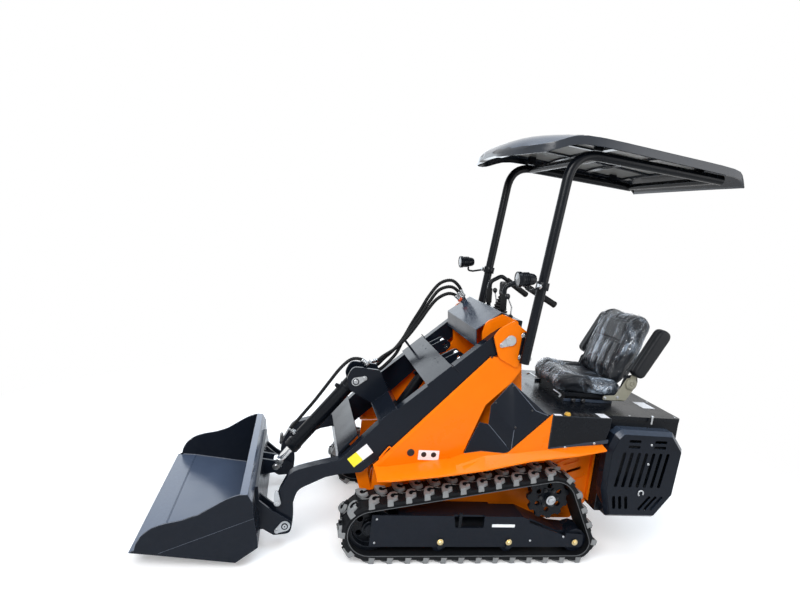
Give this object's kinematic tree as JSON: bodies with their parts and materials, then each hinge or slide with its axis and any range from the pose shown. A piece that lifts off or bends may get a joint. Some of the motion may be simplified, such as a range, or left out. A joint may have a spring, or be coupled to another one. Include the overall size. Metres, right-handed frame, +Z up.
{
  "type": "skid steer loader",
  "caption": "Ride-on compact skid steer loader on rubber tracks, with a lift boom, tilting bucket, suspension seat and a roof canopy.",
  "frame": {"origin": "on the ground under the middle of the bounding box", "axes": "+X forward towards the bucket, +Y to the machine's left, +Z up"},
  "size_m": [2.82, 1.05, 2.21],
  "materials": {
    "track_rubber": "matte",
    "charcoal_paint": "gloss",
    "black_paint": "satin",
    "orange_paint": "gloss",
    "zinc_plate": "satin",
    "black_plastic": "satin",
    "vinyl": "satin",
    "chrome": "polished"
  },
  "bodies": {
    "chassis": {"rubber_track_left": "track_rubber", "rubber_track_right": "track_rubber", "track_frame_left": "charcoal_paint", "track_frame_right": "charcoal_paint", "front_idler_left": "black_paint", "front_idler_right": "black_paint", "drive_sprocket_left": "black_paint", "drive_sprocket_right": "black_paint", "main_frame": "orange_paint", "side_plate_left": "orange_paint", "side_plate_right": "orange_paint", "tower_plate_left": "orange_paint", "tower_plate_right": "orange_paint", "boom_pin_left": "zinc_plate", "boom_pin_right": "zinc_plate", "fender_left": "orange_paint", "fender_right": "orange_paint", "tower_cover": "charcoal_paint", "side_box_left": "charcoal_paint", "side_box_right": "charcoal_paint", "console_left": "black_paint", "console_right": "black_paint", "engine_hood": "black_paint", "engine_housing": "black_paint", "side_guard_left": "charcoal_paint", "side_guard_right": "charcoal_paint", "rear_side_plate_left": "orange_paint", "rear_side_plate_right": "orange_paint", "canopy_frame": "black_paint", "canopy_roof": "black_plastic", "headlamp_left": "black_paint", "headlamp_right": "black_paint", "seat_base": "black_paint", "seat_cushion": "vinyl", "hand_rail_left": "black_paint", "hand_rail_right": "black_paint", "control_box": "black_paint"},
    "boom": {"boom": "charcoal_paint", "boom_hose_1": "black_paint", "boom_hose_2": "black_paint", "boom_hose_3": "black_paint"},
    "bucket": {"carrier": "charcoal_paint", "bucket": "charcoal_paint"},
    "lift_barrel_left": {"lift_barrel_left": "black_paint"},
    "lift_barrel_right": {"lift_barrel_right": "black_paint"},
    "lift_rod_left": {"lift_rod_left": "chrome"},
    "lift_rod_right": {"lift_rod_right": "chrome"},
    "tilt_barrel": {"tilt_barrel": "black_paint", "tilt_hose": "black_paint"},
    "tilt_rod": {"tilt_rod": "chrome"},
    "seat_back": {"seat_back": "vinyl"},
    "armrest_left": {"armrest_left": "vinyl"},
    "armrest_right": {"armrest_right": "vinyl"}
  },
  "joints": [
    {"name": "boom_lift", "type": "hinge", "parent": "chassis", "child": "boom", "pos_m": [-0.32, 0, 1.155], "axis": [0, -1, 0], "range_deg": [0, 80]},
    {"name": "bucket_tilt", "type": "hinge", "parent": "boom", "child": "bucket", "pos_m": [0.726, 0, 0.126], "axis": [0, -1, 0], "range_deg": [-105, 12]},
    {"name": "lift_barrel_swing_left", "type": "hinge", "parent": "chassis", "child": "lift_barrel_left", "pos_m": [0.255, 0.15, 0.33], "axis": [0, -1, 0], "range_deg": [-10.6, 0]},
    {"name": "lift_rod_slide_left", "type": "slide", "parent": "lift_barrel_left", "child": "lift_rod_left", "axis": [-0.4933, 0, 0.8698], "range_m": [0, 0.2719]},
    {"name": "lift_barrel_swing_right", "type": "hinge", "parent": "chassis", "child": "lift_barrel_right", "pos_m": [0.255, -0.15, 0.33], "axis": [0, -1, 0], "range_deg": [-10.6, 0]},
    {"name": "lift_rod_slide_right", "type": "slide", "parent": "lift_barrel_right", "child": "lift_rod_right", "axis": [-0.4933, 0, 0.8698], "range_m": [0, 0.2719]},
    {"name": "tilt_barrel_swing", "type": "hinge", "parent": "boom", "child": "tilt_barrel", "pos_m": [0.407, 0, 0.8], "axis": [0, -1, 0], "range_deg": [-5, 0.6]},
    {"name": "tilt_rod_slide", "type": "slide", "parent": "tilt_barrel", "child": "tilt_rod", "axis": [0.603, 0, -0.7978], "range_m": [-0.031, 0.264]},
    {"name": "seat_back_recline", "type": "hinge", "parent": "chassis", "child": "seat_back", "pos_m": [-1.115, 0, 0.93], "axis": [0, -1, 0], "range_deg": [-10, 15]},
    {"name": "armrest_fold_left", "type": "hinge", "parent": "seat_back", "child": "armrest_left", "pos_m": [-1.127, 0.285, 1.025], "axis": [0, -1, 0], "range_deg": [-118, 0]},
    {"name": "armrest_fold_right", "type": "hinge", "parent": "seat_back", "child": "armrest_right", "pos_m": [-1.127, -0.285, 1.025], "axis": [0, -1, 0], "range_deg": [-118, 0]}
  ],
  "couplings": [
    {"joint": "lift_barrel_swing_left", "follows": "boom_lift", "ratio": -0.1316},
    {"joint": "lift_rod_slide_left", "follows": "boom_lift", "m_per_rad": 0.1946},
    {"joint": "lift_barrel_swing_right", "follows": "boom_lift", "ratio": -0.1316},
    {"joint": "lift_rod_slide_right", "follows": "boom_lift", "m_per_rad": 0.1946},
    {"joint": "tilt_barrel_swing", "follows": "bucket_tilt", "ratio": 0.0473},
    {"joint": "tilt_rod_slide", "follows": "bucket_tilt", "m_per_rad": -0.1437}
  ]
}
